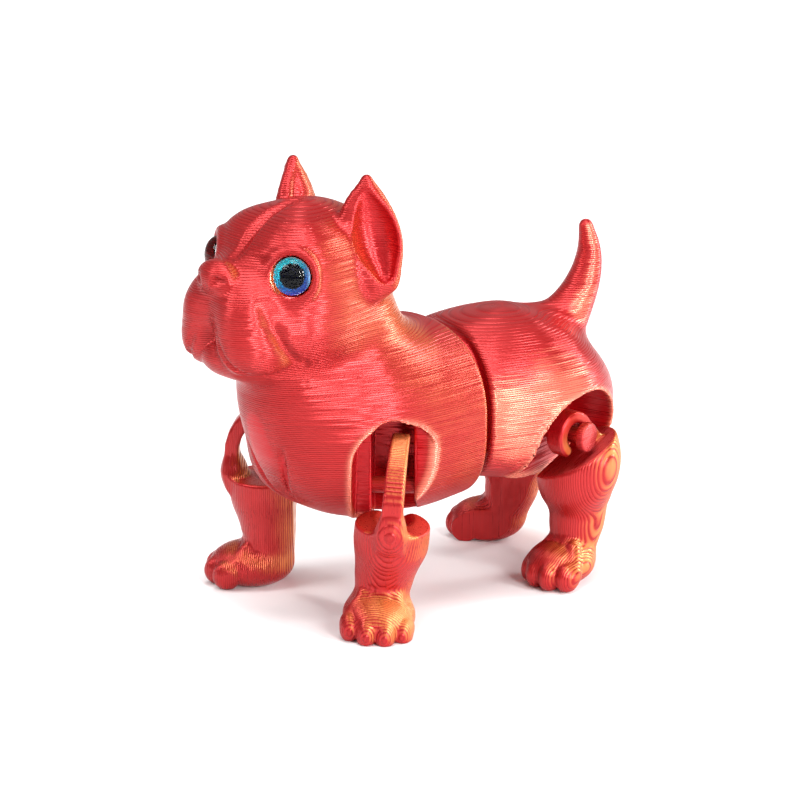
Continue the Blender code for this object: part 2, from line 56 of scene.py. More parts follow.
# The modelling frame is the CAD's: millimetres, dog facing -Y, mid-plane of the front half at x = 0
GROUND_Z = 1.3                  # height of the ground in that frame
SHIFT = (1.205, -2.606)         # puts the middle of the outline over the origin
RIM_Y = 8.5                     # rear rim of the front shell
WAIST_Y = 9.0                   # vertical waist hinge
WAIST_YAW = -14.0               # how far the rear half is turned at rest
LUG_Z = 33.0                    # middle of the front shell's tab on the pin
LUG_HALF = (4.2, 2.2)           # its half width and half height
STEP_Y = 13.3                   # where the rear half widens behind the rim
TONGUE_Y = 4.2                  # front end of the rear half's tongue
SOCKET_Y = 0.9                  # front wall of the socket it enters
LAYER = 0.34                    # printed layer height
EDGE = 2e-5                     # how far the fine meshes stay inside the CAD's box, in metres

# Legs, each in a frame with x across or outward, y back and z up from the ground
FRONT_SPLAY = 45.0
FRONT_LEG_OUT = 21.0
FRONT_LEG_SIDE = 3.05
FRONT_RIM_Z = 18.4              # level top of a front leg
FRONT_CUP = (0, 3.2, 24.0), (4.8, 6.0, 7.2)
FRONT_POCKET = (6.5, 34.2, 7.1)     # half width, top, and how far back of the leg's axis it goes
HOOK_SLOT = (3.4, 35.0, 14.8)
HEEL_ROOM = (6.7, 19.6, 8.8)
REAR_SPLAY = 29.0
REAR_LEG = (12.5, 30.0)
REAR_INNER = 4.6                # flat inner face of a rear leg
REAR_POCKET = (9.5, 32.6, 6.6)      # half width, top, and how far inside the leg's axis it goes
REAR_POCKET_Y = 0.9

# Bars and pin
FRONT_BAR = (0.0, 9.6, 21.9)
FRONT_BAR_ENDS = (-7.0, 4.0)
REAR_BAR = (0.0, -0.6, 25.7)
REAR_BAR_ENDS = (-11.0, 4.0)
BAR_RADIUS = 1.35
BAR_HEAD = (2.5, 1.4)           # radius and thickness of the head on a rear bar
PIN_RADIUS = 1.25
PIN_HOLE = 1.6
PIN_ENDS = (22.6, 40.4)
ROUND_STEPS = 4                 # rings on a bar's rounded end

# Turn, lean and swing of each leg in degrees, and its lift, as posed at rest
LEG_POSES = {
    "front_left": (0.0, 4.5, 5.0, 0.4),
    "front_right": (0.0, 0.0, 0.0, 0.0),
    "rear_left": (-11.0, 0.0, 0.0, 0.0),
    "rear_right": (11.0, 0.0, 0.0, 0.0),
}
EYE_CENTRE = (9.0, -26.8, 61.8)
EYE_TURN = 32.0
EYE_TILT = 6.0
EYE_RADIUS = 3.0
DOME_EDGE = 0.4                 # straight rim under the dome
DOME_RISE = 2.18
SIDES = {1: "left", -1: "right"}


# ---------------------------------------------------------------- frames
def body_frame():
    return Matrix.Translation((SHIFT[0] * MM, SHIFT[1] * MM, -GROUND_Z * MM))


def rear_frame():
    pin = Matrix.Translation((0, WAIST_Y * MM, 0))
    return body_frame() @ pin @ Matrix.Rotation(math.radians(WAIST_YAW), 4, "Z") @ pin.inverted()


def mirror(matrix, side):
    """The same placing on the other side of the mid-plane, without turning the mesh inside out."""
    flip = Matrix.Diagonal((side, 1, 1, 1))
    return flip @ matrix @ flip


def half_frame(end):
    return body_frame() if end == "front" else rear_frame()


def leg_socket(end):
    """A left leg's frame in its half of the body, before the leg is posed."""
    if end == "front":
        splay = math.radians(FRONT_SPLAY)
        x = FRONT_LEG_SIDE * math.cos(splay) + FRONT_LEG_OUT * math.sin(splay)
        y = FRONT_LEG_SIDE * math.sin(splay) - FRONT_LEG_OUT * math.cos(splay)
    else:
        splay = math.radians(REAR_SPLAY)
        x, y = REAR_LEG
    return Matrix.Translation(Vector((x, y, GROUND_Z)) * MM) @ Matrix.Rotation(splay, 4, "Z")


def leg_frame(name, side):
    end = name.split("_")[0]
    pivot = FRONT_BAR if end == "front" else REAR_BAR
    turn, lean, swing, lift = LEG_POSES[name]
    pivot = Vector(pivot) * MM
    move = Matrix.Translation(pivot + Vector((0, 0, lift * MM)))
    spin = Matrix.Rotation(math.radians(turn), 4, "Z")
    tilt = Matrix.Rotation(math.radians(lean), 4, "Y") @ Matrix.Rotation(math.radians(swing), 4, "X")
    posed = leg_socket(end) @ move @ spin @ tilt @ Matrix.Translation(-pivot)
    return half_frame(end) @ mirror(posed, side)


def eye_frame(side):
    place = Matrix.Translation(Vector(EYE_CENTRE) * MM)
    turn = Matrix.Rotation(math.radians(EYE_TURN), 4, "Z")
    tilt = Matrix.Rotation(math.radians(90 - EYE_TILT), 4, "X")
    return body_frame() @ mirror(place @ turn @ tilt, side)


# ---------------------------------------------------------------- distance fields, in millimetres
def smin(a, b, k):
    """The union of two fields, rounded where they meet over about k; smax is the rounded overlap."""
    h = np.maximum(k - np.abs(a - b), 0) / k
    return np.minimum(a, b) - h * h * k * F(0.25)


def smax(a, b, k):
    return -smin(-a, -b, k)


def both(p):
    """Folds the right half onto the left."""
    return [np.abs(p[0]), p[1], p[2]]


def ball(p, centre, radii, turn_x=0.0):
    """An ellipsoid, which may be turned about the x axis."""
    x, y, z = (q - F(c) for q, c in zip(p, centre))
    if turn_x:
        a = math.radians(turn_x)
        y, z = y * F(math.cos(a)) + z * F(math.sin(a)), z * F(math.cos(a)) - y * F(math.sin(a))
    x, y, z = (q / F(r) for q, r in zip((x, y, z), radii))
    k0 = np.sqrt(x * x + y * y + z * z) + F(1e-6)
    k1 = np.sqrt((x / F(radii[0])) ** 2 + (y / F(radii[1])) ** 2 + (z / F(radii[2])) ** 2) + F(1e-6)
    return k0 * (k0 - 1) / k1


def taper(p, a, b, ra, rb):
    """A round-ended rod whose radius changes from one end to the other."""
    a = np.array(a, float)
    d = np.array(b, float) - a
    x, y, z = (q - F(c) for q, c in zip(p, a))
    t = np.clip((x * F(d[0]) + y * F(d[1]) + z * F(d[2])) / F(d @ d), 0, 1)
    away = np.sqrt((x - t * F(d[0])) ** 2 + (y - t * F(d[1])) ** 2 + (z - t * F(d[2])) ** 2)
    return away - (F(ra) + t * F(rb - ra))


def limb(p, points, radii, k=0.6):
    """Tapered rods from point to point."""
    d = None
    for a, b, ra, rb in zip(points[:-1], points[1:], radii[:-1], radii[1:]):
        c = taper(p, a, b, ra, rb)
        d = c if d is None else smin(d, c, k)
    return d


def bent(p, points, radii, k=0.3, cuts=2):
    """A limb that runs through a smooth bend: its corners are cut twice."""
    rows = np.column_stack([points, radii])
    for _ in range(cuts):
        near, far = rows[:-1] * 0.75 + rows[1:] * 0.25, rows[:-1] * 0.25 + rows[1:] * 0.75
        rows = np.vstack([rows[:1], np.stack([near, far], 1).reshape(-1, 4), rows[-1:]])
    return limb(p, [tuple(row[:3]) for row in rows], [row[3] for row in rows], k)


def eased(stations, column, blur=2.0):
    """A station value along y, with the kinks at the stations rounded off."""
    at = [row[0] for row in stations]
    y = np.linspace(at[0] - 3 * blur, at[-1] + 3 * blur, 500)
    value = np.interp(y, at, [row[column] for row in stations])
    weight = np.exp(-((y[:, None] - y[None, :]) / blur) ** 2)
    return y, (weight * value).sum(1) / weight.sum(1)


def trunk(p, stations, power_top=2.3, power_bottom=3.0):
    """Rounded sections along y: position, half width, top, bottom."""
    w, t, b = (np.interp(p[1], *eased(stations, column)).astype(F) for column in (1, 2, 3))
    mid = (t + b) / 2
    half = (t - b) / 2
    up = p[2] - mid
    n = np.where(up > 0, F(power_top), F(power_bottom))
    f = ((np.abs(p[0]) / w) ** n + (np.abs(up) / half) ** n + F(1e-9)) ** (1 / n)
    return (f - 1) * np.minimum(w, half)


def slab(p, low, high):
    """An axis-aligned block; None leaves a side open."""
    d = None
    for q, a, b in zip(p, low, high):
        for c in ([F(a) - q] if a is not None else []) + ([q - F(b)] if b is not None else []):
            d = c if d is None else np.maximum(d, c)
    return d


def arch(u, z, half, top, flare=1.2, floor=4.0):
    """Arched outline: a round head on jambs that spread downward."""
    spring = top - half
    head = np.sqrt(u * u + np.maximum(z - spring, 0) ** 2) - half
    spread = np.maximum(spring - z, 0) / (spring - F(floor)) * F(flare)
    return head - spread


def into(matrix, p):
    """Points of one millimetre frame in another one."""
    m = np.array(matrix.inverted())
    return [p[0] * F(m[i][0]) + p[1] * F(m[i][1]) + p[2] * F(m[i][2]) + F(m[i][3] / MM) for i in range(3)]


# ---------------------------------------------------------------- front half
def groove(p, d, points, radii, k=0.6):
    """Presses a rounded crease along a line of points."""
    return smax(d, -limb(p, points, radii, 0.3), k)


def muzzle(m, p):
    """Two hanging lips either side of a recessed lower jaw, with a broad nose above."""
    lips = ball(m, (4.0, -31.4, 54.4), (5.0, 6.0, 7.0))
    lips = smin(lips, ball(m, (4.5, -32.7, 50.6), (4.3, 4.6, 4.7)), 1.5)
    lips = smin(lips, ball(m, (6.4, -30.0, 50.6), (3.4, 4.9, 4.7)), 1.2)
    lips = smin(lips, ball(p, (0, -29.5, 56.9), (6.8, 6.8, 7.0)), 2)
    jaw = ball(p, (0, -30.6, 48.4), (5.9, 6.2, 4.1))
    jaw = smin(jaw, ball(p, (0, -27.0, 47.4), (7.4, 6.0, 4.6)), 2)
    d = smin(lips, jaw, 0.35)
    d = groove(m, d, [(0, -37.0, 56.4), (2.2, -37.5, 53.2), (4.6, -37.2, 49.0), (6.9, -33.3, 45.7),
                      (8.6, -29.2, 45.5), (9.4, -26.6, 46.9)], [0.25, 0.4, 0.5, 0.5, 0.45, 0.3], 0.5)
    d = smin(d, ball(p, (0, -34.7, 61.2), (3.9, 2.6, 2.9)), 0.9)
    d = groove(p, d, [(0, -37.3, 60.2), (0, -37.4, 56.4)], [0.3, 0.35], 0.5)
    d = groove(m, d, [(1.3, -37.3, 60.6), (2.2, -36.9, 61.4), (3.2, -36.0, 61.3)], [0.35, 0.75, 0.4], 0.25)
    return groove(m, d, [(3.3, -36.6, 59.2), (4.6, -35.8, 61.6)], [0.2, 0.3], 0.5)


EAR_TIP = (9.05, -11.5, 74.85)
EAR_HOLLOW = [(13.5, -11.6, 60.6), (12.9, -12.7, 66.5), (10.7, -13.3, 73.4)], [1.7, 4.4, 0.9]


def ear(m, d):
    """An upright leaf with a rolled rim and a wide hollow that faces out and forward."""
    e = bent(m, [(9.2, -11.0, 60), (9.5, -11.2, 69), EAR_TIP], [5.0, 3.7, 0.7])
    back = [(12.2, -10.0, 58.5), (12.8, -8.9, 63.5), (12.4, -9.0, 67.5), (11.0, -10.0, 71.5), EAR_TIP]
    e = smin(e, bent(m, back, [1.8, 1.5, 1.2, 0.9, 0.6]), 0.5)
    e = smin(e, bent(m, [(7.6, -15.2, 66.0), (7.9, -14.1, 71.0), EAR_TIP], [1.5, 1.1, 0.6]), 0.5)
    d = smin(d, e, 1.2)
    return smax(d, -bent(m, *EAR_HOLLOW), 0.35)


def head(p):
    """Neck, skull, cheeks and muzzle, with the creases of the face and both ears."""
    m = both(p)
    d = limb(p, [(0, -14.1, 58), (0, -11.4, 50), (0, -7.3, 38)], [10.2, 10.4, 13.4], 2)
    d = smin(d, ball(p, (0, -19.8, 40.5), (9.6, 8.4, 12.6)), 5)
    h = ball(p, (0, -17.2, 60.7), (11.8, 13.2, 10.4))
    h = smin(h, ball(m, (5.3, -22.6, 61.5), (6.3, 6.8, 7.4)), 3)
    h = smin(h, ball(m, (6.4, -21, 53.5), (6.3, 9.6, 7.9)), 3.5)
    h = smin(h, muzzle(m, p), 2.6)
    h = groove(m, h, [(8.9, -33.6, 59.5), (9.5, -31.9, 55.5), (9.7, -29.6, 51.0), (9.6, -26.7, 47.4)],
               [0.05, 0.15, 0.2, 0.1], 2.0)
    d = smin(d, h, 3.0)
    d = groove(m, d, [(9.7, -25.0, 47.6), (8.9, -24.0, 43.4)], [0.5, 0.3], 0.8)
    d = groove(p, d, [(0, -31.2, 64.3), (0, -27.0, 67.5), (0, -23.4, 69.9), (0, -17.5, 71.9)],
               [0.55, 0.6, 0.6, 0.4], 1.0)
    return ear(m, d)


# Sections of the trunk and of the pieces that meet at the waist: y, half width, top, bottom
FRONT_STATIONS = [
    (-25.6, 3.0, 39.0, 29.0), (-24.0, 7.0, 42.5, 24.9), (-20.0, 11.2, 46.0, 21.0),
    (-16.0, 13.9, 48.0, 18.8), (-11.0, 15.5, 49.0, 17.5), (-4.0, 16.2, 48.8, 16.9),
    (2.0, 16.4, 48.0, 17.0), (RIM_Y + 2, 16.2, 47.0, 17.8)]
REAR_STATIONS = [
    (STEP_Y, 15.2, 45.4, 20.4), (14.5, 15.8, 45.9, 19.8), (20, 16.1, 46.6, 18.9), (26, 16.1, 46.7, 18.5),
    (32, 15.1, 45.0, 19.0), (36.6, 12.7, 41.6, 20.6), (40.6, 9.0, 37.2, 23.2), (42.8, 4.0, 33.4, 26.6)]
SOCKET_STATIONS = [
    (SOCKET_Y, 11.8, 43.4, 22.0), (2.5, 13.6, 44.6, 21.2), (5.5, 14.8, 45.4, 20.4),
    (RIM_Y + 2, 15.1, 45.5, 20.1)]
TONGUE_STATIONS = [
    (TONGUE_Y, 8.6, 40.6, 24.4), (6.0, 11.4, 42.4, 23.0), (9.0, 13.0, 43.7, 21.8), (16, 13.9, 45.0, 20.8)]


def front_pocket(m):
    """The arched pocket's field, and the point in the leg's frame."""
    splay = math.radians(FRONT_SPLAY)
    out = m[0] * F(math.sin(splay)) - m[1] * F(math.cos(splay))
    x = m[0] * F(math.cos(splay)) + m[1] * F(math.sin(splay)) - F(FRONT_LEG_SIDE)
    y = F(FRONT_LEG_OUT) - out
    z = m[2] - F(GROUND_Z)
    half, top, depth = FRONT_POCKET
    flare = np.maximum(depth - y, 0) * F(0.045)
    return np.maximum(arch(x, z, half, top) - flare, y - F(depth)), x, y, z


def rear_pocket(m):
    """The rear pocket's field."""
    a = math.radians(REAR_SPLAY)
    u, v = m[0] - F(REAR_LEG[0]), m[1] - F(REAR_LEG[1])
    x = u * F(math.cos(a)) + v * F(math.sin(a))
    y = v * F(math.cos(a)) - u * F(math.sin(a))
    z = m[2] - F(GROUND_Z)
    half, top, wall = REAR_POCKET
    spread = np.maximum(x + F(wall), 0) * F(0.06)
    return np.maximum(arch(y - F(REAR_POCKET_Y), z, half, top, 2.2) - spread, F(-wall) - x)


def from_waist(p):
    """Distance from the waist hinge's axis."""
    return np.sqrt(p[0] ** 2 + (p[1] - F(WAIST_Y)) ** 2)


def front_half(p):
    """Head and chest in one shell, with its socket, tab, pockets and eye recesses."""
    m = both(p)
    d = trunk(p, FRONT_STATIONS)
    d = smax(d, F(-25.2) - p[1], 3.0)
    d = smin(d, head(p), 3.5)
    d = groove(m, d, [(4.4, -25.6, 31.5), (3.0, -23.6, 26.5), (1.5, -20.8, 21.4)], [0.2, 0.5, 0.3], 0.8)
    e = into(eye_in_body(), m)
    from_axis = np.sqrt(e[0] ** 2 + e[1] ** 2)
    d = smin(d, np.sqrt((from_axis - F(3.9)) ** 2 + (e[2] - F(0.1)) ** 2) - F(0.75), 1.0)
    d = smax(d, p[1] - F(RIM_Y), 0.7)
    socket = smax(trunk(p, SOCKET_STATIONS), F(SOCKET_Y) - p[1], 0.6)
    d = smax(d, -socket, 0.35)
    wide, high = LUG_HALF
    lug = slab(p, (-wide, -0.6, LUG_Z - high), (wide, WAIST_Y, LUG_Z + high))
    near_pin, level = from_waist(p), np.abs(p[2] - F(LUG_Z))
    lug = np.minimum(lug, np.maximum(near_pin - F(wide), level - F(high)))
    d = np.minimum(d, lug)
    d = np.maximum(d, -(np.maximum(near_pin - F(PIN_HOLE), level - F(4))))
    pocket, x, y, z = front_pocket(m)
    half, top, depth = HOOK_SLOT
    slot = np.maximum(arch(x + F(0.7), z, half, top, flare=0.2), y - F(depth))
    half, top, depth = HEEL_ROOM
    heel = np.maximum(arch(x, z, half, top), y - F(depth))
    d = d - lip(pocket)
    d = smax(d, -pocket, 0.25)
    d = smax(d, -np.minimum(slot, heel), 0.3)
    return np.maximum(d, -np.maximum(from_axis - F(EYE_RADIUS + 0.3), F(-1.0) - e[2]))


def eye_in_body():
    """The left eye's frame as seen from the front half."""
    return body_frame().inverted() @ eye_frame(1)


def lip(opening):
    """A low bead along the edge of an opening."""
    return F(0.34) * np.exp(-(opening / F(0.7)) ** 2)


def rear_half(p):
    """Rump, tail and tongue in one shell, with its pockets, the tab's slot and the pin's hole."""
    m = both(p)
    tongue = smax(trunk(p, TONGUE_STATIONS), F(TONGUE_Y) - p[1], 1.0)
    tongue = np.maximum(tongue, p[1] - F(16))
    d = trunk(p, REAR_STATIONS)
    d = smax(d, F(STEP_Y) - p[1], 0.8)
    d = smax(d, p[1] - F(42.5), 2.0)
    tail = [(0, 32.5, 40.0), (0, 36.8, 44.5), (0, 39.6, 49.5), (0, 40.5, 54.2), (0, 39.6, 58.7)]
    d = smin(d, bent(p, tail, [5.4, 3.6, 2.7, 2.0, 1.1]), 3.0)
    d = np.minimum(d, tongue)
    pocket = rear_pocket(m)
    d = d - lip(pocket)
    d = smax(d, -pocket, 0.25)
    near_pin = from_waist(p)
    slot = np.minimum(near_pin - F(5.0), np.maximum(np.abs(p[0]) - F(6.6), p[1] - F(WAIST_Y)))
    d = np.maximum(d, -np.maximum(slot, np.abs(p[2] - F(LUG_Z)) - F(2.55)))
    return np.maximum(d, -np.maximum(near_pin - F(PIN_HOLE), p[2] - F(40.7)))


# ---------------------------------------------------------------- legs
def toes(p, d, spots, wrist):
    """Long toes that run up from their tips to the wrist."""
    for x, y in spots:
        toe = ball(p, (x, y, 2.3), (1.75, 2.4, 2.5))
        root = (wrist[0] + (x - wrist[0]) * 0.62, wrist[1], wrist[2])
        toe = smin(toe, taper(p, (x, y + 1.0, 2.9), root, 1.75, 1.3), 0.6)
        d = smin(d, toe, 0.35)
    return d


def strap(p, path, widths, thick):
    """A flat band whose centre line lies in the y-z plane."""
    d = None
    for (ay, az), (by, bz), wa, wb in zip(path[:-1], path[1:], widths[:-1], widths[1:]):
        dy, dz = by - ay, bz - az
        t = np.clip(((p[1] - F(ay)) * F(dy) + (p[2] - F(az)) * F(dz)) / F(dy * dy + dz * dz), 0, 1)
        r = np.sqrt((p[1] - F(ay) - t * F(dy)) ** 2 + (p[2] - F(az) - t * F(dz)) ** 2) - F(thick / 2)
        c = smax(r, np.abs(p[0]) - (F(wa) + t * F(wb - wa)) / 2, 0.5)
        d = c if d is None else np.minimum(d, c)
    return d


def front_leg(p):
    """A cupped leg with a flat back and a strap that bends over its bar."""
    y, z = p[1], p[2]
    shin = [(0, 0.8, 19.5), (-0.1, 1.2, 15), (-0.7, 1.8, 10), (-1.0, 1.4, 5.2)]
    d = limb(p, shin, [6.2, 5.6, 4.4, 4.4], 2.0)
    paw = ball(p, (-1.0, -1.4, 3.3), (5.9, 7.0, 3.9))
    paw = toes(p, paw, ((-5.3, -5.2), (-2.5, -6.9), (0.5, -6.9), (3.2, -5.2)), (-1.0, -2.0, 6.2))
    d = smin(d, paw, 1.2)
    d = groove(p, d, [(-4.8, -2.2, 8.4), (-0.8, -3.9, 8.2), (3.4, -2.2, 8.4)], [0.3, 0.5, 0.3], 0.8)
    d = smax(d, z - F(FRONT_RIM_Z), 0.5)
    d = smax(d, -ball(p, *FRONT_CUP), 0.4)
    d = smin(d, ball(p, (0, -4.2, 18.9), (2.5, 2.3, 3.2)), 1.6)
    d = smax(d, y - F(5.9), 0.3)
    path = [(-4.0, 17.0), (-4.6, 19.5)]
    for i in range(17):
        a = math.radians(182 - 202 * i / 16)
        path.append((4.0 + 8.6 * math.cos(a), 22.3 + 8.6 * math.sin(a)))
    widths = [3.6 - 1.2 * i / (len(path) - 1) for i in range(len(path))]
    return smin(d, strap(p, path, widths, 2.4), 1.3)


def rear_leg(p):
    """A round haunch cut off aslant, with a flat inner face and an open ring round its bar."""
    x, y, z = p
    d = ball(p, (-1.0, 2.6, 20.0), (7.6, 6.9, 9.6), -12)
    d = smin(d, limb(p, [(-1.2, 3.6, 14), (-1.0, 2.8, 10), (-0.8, 1.6, 5.2)], [5.1, 4.2, 3.9], 2), 1.5)
    paw = ball(p, (-0.6, -1.7, 3.3), (5.5, 6.3, 3.8))
    paw = toes(p, paw, ((-3.9, -5.0), (-1.3, -6.5), (1.5, -6.5), (4.0, -5.0)), (-0.5, -1.8, 6.2))
    d = smin(d, paw, 1.2)
    d = groove(p, d, [(-3.8, -2.4, 8.3), (0.2, -3.4, 8.1), (3.6, -1.4, 8.3)], [0.3, 0.5, 0.3], 0.8)
    cut = Vector((-0.3, -0.45, 1)).normalized()
    d = smax(d, x * F(cut.x) + (y + F(4)) * F(cut.y) + (z - F(19.2)) * F(cut.z), 0.5)
    path = [(3.9, 15.0), (5.0, 20.5), (5.0, 24.0)]
    for i in range(13):
        a = math.radians(30 + 200 * i / 12)
        path.append((REAR_BAR[1] + 3.05 * math.cos(a), REAR_BAR[2] + 3.05 * math.sin(a)))
    d = smin(d, strap(p, path, [3.4] * len(path), 1.9), 1.0)
    return smax(d, F(-REAR_INNER) - x, 0.3)


# ---------------------------------------------------------------- skin of a field
def cell_points(d, inside):
    """Grid cells that the surface passes through, each with the mean of the crossings on its edges."""
    n = d.shape
    corners = [(i, j, k) for i in (0, 1) for j in (0, 1) for k in (0, 1)]
    count = sum(inside[tuple(slice(o, s - 1 + o) for o, s in zip(c, n))].astype(np.int8) for c in corners)
    cells = np.argwhere((count > 0) & (count < 8))
    total = np.zeros((len(cells), 3))
    hits = np.zeros(len(cells))
    for c in corners:
        for axis in range(3):
            if c[axis]:
                continue
            e = list(c)
            e[axis] = 1
            a = d[tuple((cells + c).T)]
            b = d[tuple((cells + e).T)]
            cross = (a < 0) != (b < 0)
            t = a[cross] / (a[cross] - b[cross])
            spot = np.repeat(np.array([c], float), len(t), 0)
            spot[:, axis] += t
            total[cross] += spot
            hits[cross] += 1
    return cells, cells + total / hits[:, None]


def cell_quads(inside, cells):
    """A quad for each grid edge that the surface crosses, facing out."""
    n = inside.shape
    number = np.full(np.array(n) - 1, -1, np.int32)
    number[tuple(cells.T)] = np.arange(len(cells))
    quads = []
    for axis in range(3):
        u, v = (axis + 1) % 3, (axis + 2) % 3
        a = [slice(0, s) for s in n]
        b = [slice(0, s) for s in n]
        a[axis] = slice(0, n[axis] - 1)
        b[axis] = slice(1, n[axis])
        one, two = inside[tuple(a)], inside[tuple(b)]
        edges = np.argwhere(one != two)
        for side in (u, v):
            edges = edges[(edges[:, side] > 0) & (edges[:, side] < n[side] - 1)]
        ring = []
        for du, dv in ((1, 1), (0, 1), (0, 0), (1, 0)):
            cell = edges.copy()
            cell[:, u] -= du
            cell[:, v] -= dv
            ring.append(number[tuple(cell.T)])
        ring = np.stack(ring, -1)
        leaving = one[tuple(edges.T)]
        ring[~leaving] = ring[~leaving][:, ::-1]
        quads.append(ring)
    return np.concatenate(quads)


def drawn_in(field, verts, step, reach=0.03):
    """Moves each point once toward the surface, along the field's slope."""
    p = [verts[:, i].astype(F) for i in range(3)]
    slope = []
    for i in range(3):
        q, r = list(p), list(p)
        q[i] = q[i] + F(reach)
        r[i] = r[i] - F(reach)
        slope.append((field(q) - field(r)) / F(2 * reach))
    slope = np.stack(slope, -1)
    size = np.maximum((slope ** 2).sum(-1), 0.3)
    return verts - np.clip(field(p) / size, -0.4 * step, 0.4 * step)[:, None] * slope


def skin(field, low, high, step):
    """Vertices and quads of the surface where the field is zero."""
    axes = [np.arange(a, b + step, step, dtype=F) for a, b in zip(low, high)]
    d = field(np.meshgrid(*axes, indexing="ij"))
    inside = d < 0
    cells, spots = cell_points(d, inside)
    verts = spots * step + [a[0] for a in axes]
    for _ in range(2):
        verts = drawn_in(field, verts, step)
    return verts, cell_quads(inside, cells)


def add_mesh(name, verts, faces, place, mat, marks=None):
    """A smooth mesh from millimetre points, kept inside the CAD's outline."""
    matrix = np.array(place)
    world = verts * MM @ matrix[:3, :3].T + matrix[:3, 3]
    low, high = np.array(CAD_BOX[0]) + EDGE, np.array(CAD_BOX[1]) - EDGE
    world = np.clip(world, low, high)
    mesh = bpy.data.meshes.new(name)
    mesh.vertices.add(len(world))
    mesh.vertices.foreach_set("co", world.astype(F).ravel())
    mesh.loops.add(faces.size)
    mesh.loops.foreach_set("vertex_index", faces.astype(np.int32).ravel())
    mesh.polygons.add(len(faces))
    mesh.polygons.foreach_set("loop_start", np.arange(0, faces.size, faces.shape[1], dtype=np.int32))
    mesh.polygons.foreach_set("loop_total", np.full(len(faces), faces.shape[1], np.int32))
    mesh.update(calc_edges=True)
    mesh.validate()
    mesh.shade_smooth()
    for key, values in (marks or {}).items():
        layer = mesh.attributes.new(key, "FLOAT", "POINT")
        layer.data.foreach_set("value", values.astype(F))
    mesh.materials.append(mat)
    obj = bpy.data.objects.new(name, mesh)
    bpy.context.collection.objects.link(obj)
    return obj


# ---------------------------------------------------------------- materials
def nodes_of(name):
    mat = bpy.data.materials.new(name)
    mat.use_nodes = True
    tree = mat.node_tree
    return mat, tree, tree.nodes["Principled BSDF"]


def add(tree, kind, inputs=(), **settings):
    """A node whose inputs are other nodes' sockets or plain values."""
    node = tree.nodes.new(kind)
    for key, value in settings.items():
        setattr(node, key, value)
    for key, value in dict(inputs).items():
        if isinstance(value, bpy.types.NodeSocket):
            tree.links.new(value, node.inputs[key])
        else:
            node.inputs[key].default_value = value
    return node


def calc(tree, operation, a, b=None, c=None):
    inputs = {i: v for i, v in enumerate((a, b, c)) if v is not None}
    return add(tree, "ShaderNodeMath", inputs, operation=operation).outputs[0]


def blend_colour(tree, amount, first, second, mode="MIX"):
    return add(tree, "ShaderNodeMix", {0: amount, 6: first, 7: second}, data_type="RGBA",
               blend_type=mode).outputs[2]


def vector(tree, operation, first, second):
    return add(tree, "ShaderNodeVectorMath", {0: first, 1: second}, operation=operation).outputs[0]


def dot(tree, first, direction):
    node = add(tree, "ShaderNodeVectorMath", {0: first, 1: tuple(direction)}, operation="DOT_PRODUCT")
    return node.outputs["Value"]


def noise(tree, where, scale, detail):
    return add(tree, "ShaderNodeTexNoise", {"Vector": where, "Scale": scale, "Detail": detail}).outputs["Fac"]


def ramp(tree, value, low, high, to_low=0.0, to_high=1.0):
    return add(tree, "ShaderNodeMapRange", {0: value, 1: low, 2: high, 3: to_low, 4: to_high},
               interpolation_type="SMOOTHSTEP").outputs[0]


# the pink is a painted highlight along pocket lips, the deep red painted shade in the grooves between layers,
# the inside red painted shade in recesses, and the peach the rear's gold with a painted highlight band in it
RED = (0.44, 0.013, 0.014, 1)
GROOVE_SHADE = (0.32, 0.002, 0.004, 1)
PINK_HIGHLIGHT = (0.95, 0.27, 0.18, 1)
SHADE_RED = (0.48, 0.003, 0.008, 1)
GOLD = (0.74, 0.27, 0.07, 1)
PEACH_HIGHLIGHT = (0.84, 0.20, 0.12, 1)


STRAND_ALONG = 70               # noise scale along a layer, and how much it is squeezed across it
STRAND_ACROSS = 4200
DRIFT = 110.0


